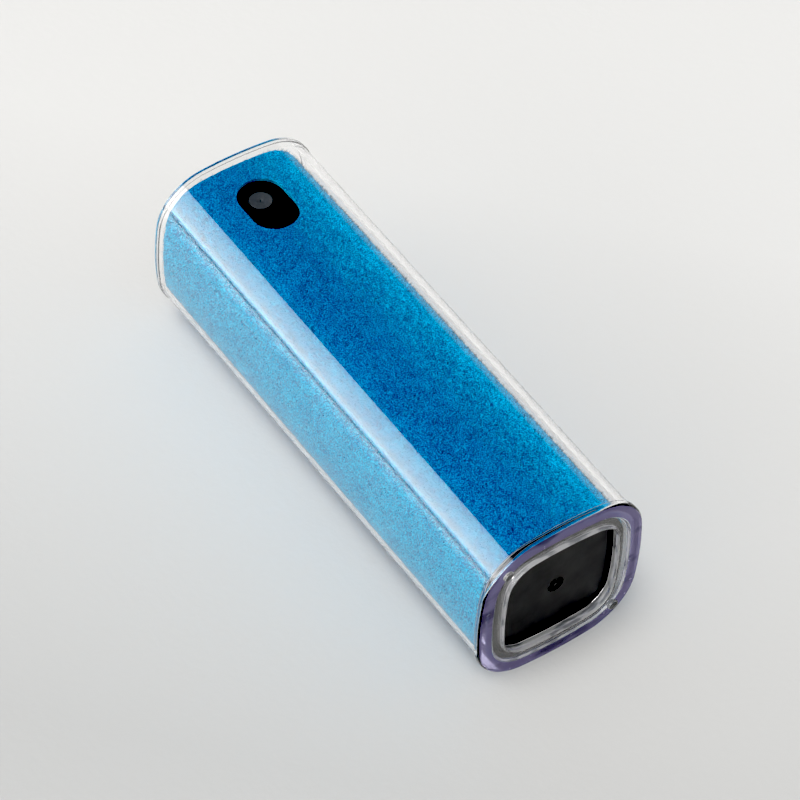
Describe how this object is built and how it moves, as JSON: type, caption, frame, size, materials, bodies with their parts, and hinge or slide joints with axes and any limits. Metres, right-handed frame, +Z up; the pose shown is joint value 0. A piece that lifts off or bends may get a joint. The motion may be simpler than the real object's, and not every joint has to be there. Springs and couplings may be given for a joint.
{
  "type": "lens cleaning spray",
  "caption": "Pocket lens cleaning spray: a mist pump in a microfibre-wrapped rounded-square stick with a clear slip-on cover.",
  "frame": {"origin": "under the middle of the stick, on the surface it lies on", "axes": "+X runs along the stick from the cover's mouth and push button to its closed end with the finger opening, +Z is up through the spray window, +Y completes the right-handed frame"},
  "size_m": [0.093, 0.0306, 0.0305],
  "materials": {
    "cover": "clear, polished",
    "housing": "semi-gloss",
    "film": "thin adhesive film",
    "cloth": "brushed microfibre",
    "nozzle": "satin",
    "bottle": "translucent, smooth",
    "fluid": "clear liquid",
    "gasket": "satin",
    "pump": "satin",
    "ball": "polished",
    "spring": "drawn wire",
    "tube": "translucent",
    "collar": "satin"
  },
  "bodies": {
    "cover": {"clear_cover": "cover"},
    "wiper": {"housing": "housing", "adhesive_film": "film", "microfibre_sleeve": "cloth", "base_plug": "housing", "bottle": "bottle", "cleaning_fluid": "fluid", "neck_gasket": "gasket", "screw_collar": "collar", "pump_cylinder": "pump", "chaplet": "pump", "stem_seal": "gasket", "ball_retainer": "pump", "dip_tube": "tube", "return_spring": "spring"},
    "button": {"push_button": "housing", "nozzle_insert": "nozzle", "stem": "pump"},
    "piston_ring": {"piston": "pump"},
    "check_ball": {"inlet_ball": "ball"}
  },
  "joints": [
    {"name": "body_slide", "type": "slide", "parent": "cover", "child": "wiper", "axis": [-1, 0, 0], "range_m": [0, 0.095]},
    {"name": "button_press", "type": "slide", "parent": "wiper", "child": "button", "axis": [1, 0, 0], "range_m": [0, 0.0035], "stiffness_N_per_m": 1200, "springref_m": -0.003, "deforming": ["return_spring"]},
    {"name": "piston_lag", "type": "slide", "parent": "button", "child": "piston_ring", "axis": [-1, 0, 0], "range_m": [0, 0.0004]},
    {"name": "ball_lift", "type": "slide", "parent": "wiper", "child": "check_ball", "axis": [-1, 0, 0], "range_m": [0, 0.0006]}
  ]
}
